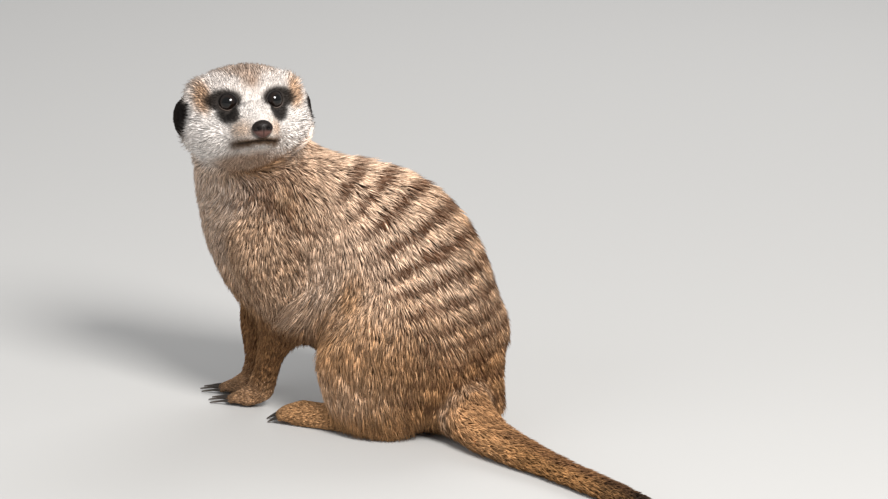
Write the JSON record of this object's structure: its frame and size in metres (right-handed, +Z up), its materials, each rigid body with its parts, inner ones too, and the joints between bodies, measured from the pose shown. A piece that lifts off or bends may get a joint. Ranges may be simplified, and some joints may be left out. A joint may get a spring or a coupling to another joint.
{
  "type": "meerkat",
  "caption": "Life-size still model of a meerkat sitting on its haunches with straight forelegs, looking round over its left shoulder, tail laid along the floor.",
  "frame": {"origin": "on the floor under the middle of the model's box", "axes": "+Z up; the rump and the tail are at +X and the chest and forefeet at -X; the face looks to -Y"},
  "size_m": [0.2522, 0.236, 0.1746],
  "materials": {
    "coat_head": "short cream-white fur, grey-brown crown, black eye patches",
    "coat_body": "grizzled tan fur with dark crossbands on the back",
    "coat_legs": "short tan fur",
    "coat_tail": "short orange-tan fur",
    "coat_tail_tip": "short brown-black fur",
    "ear": "short black fur",
    "eye": "wet, nearly black",
    "nose": "moist, dark brown above and pinkish below",
    "claw": "smooth dark horn"
  },
  "bodies": {
    "root": {"head": "coat_head", "neck": "coat_body", "trunk": "coat_body", "tail_root": "coat_tail", "tail_middle": "coat_tail", "tail_end": "coat_tail", "tail_tip": "coat_tail_tip", "upper_arm_left": "coat_legs", "upper_arm_right": "coat_legs", "forearm_left": "coat_legs", "forearm_right": "coat_legs", "forepaw_left": "coat_legs", "forepaw_right": "coat_legs", "thigh_left": "coat_legs", "thigh_right": "coat_legs", "shank_left": "coat_legs", "shank_right": "coat_legs", "hindfoot_left": "coat_legs", "hindfoot_right": "coat_legs", "ear_left": "ear", "ear_right": "ear", "eye_left": "eye", "eye_right": "eye", "nose": "nose", "claw_fore_left_1": "claw", "claw_fore_left_2": "claw", "claw_fore_left_3": "claw", "claw_fore_left_4": "claw", "claw_fore_right_1": "claw", "claw_fore_right_2": "claw", "claw_fore_right_3": "claw", "claw_fore_right_4": "claw", "claw_hind_left_1": "claw", "claw_hind_left_2": "claw", "claw_hind_left_3": "claw", "claw_hind_left_4": "claw", "claw_hind_right_1": "claw", "claw_hind_right_2": "claw", "claw_hind_right_3": "claw", "claw_hind_right_4": "claw"}
  },
  "joints": []
}
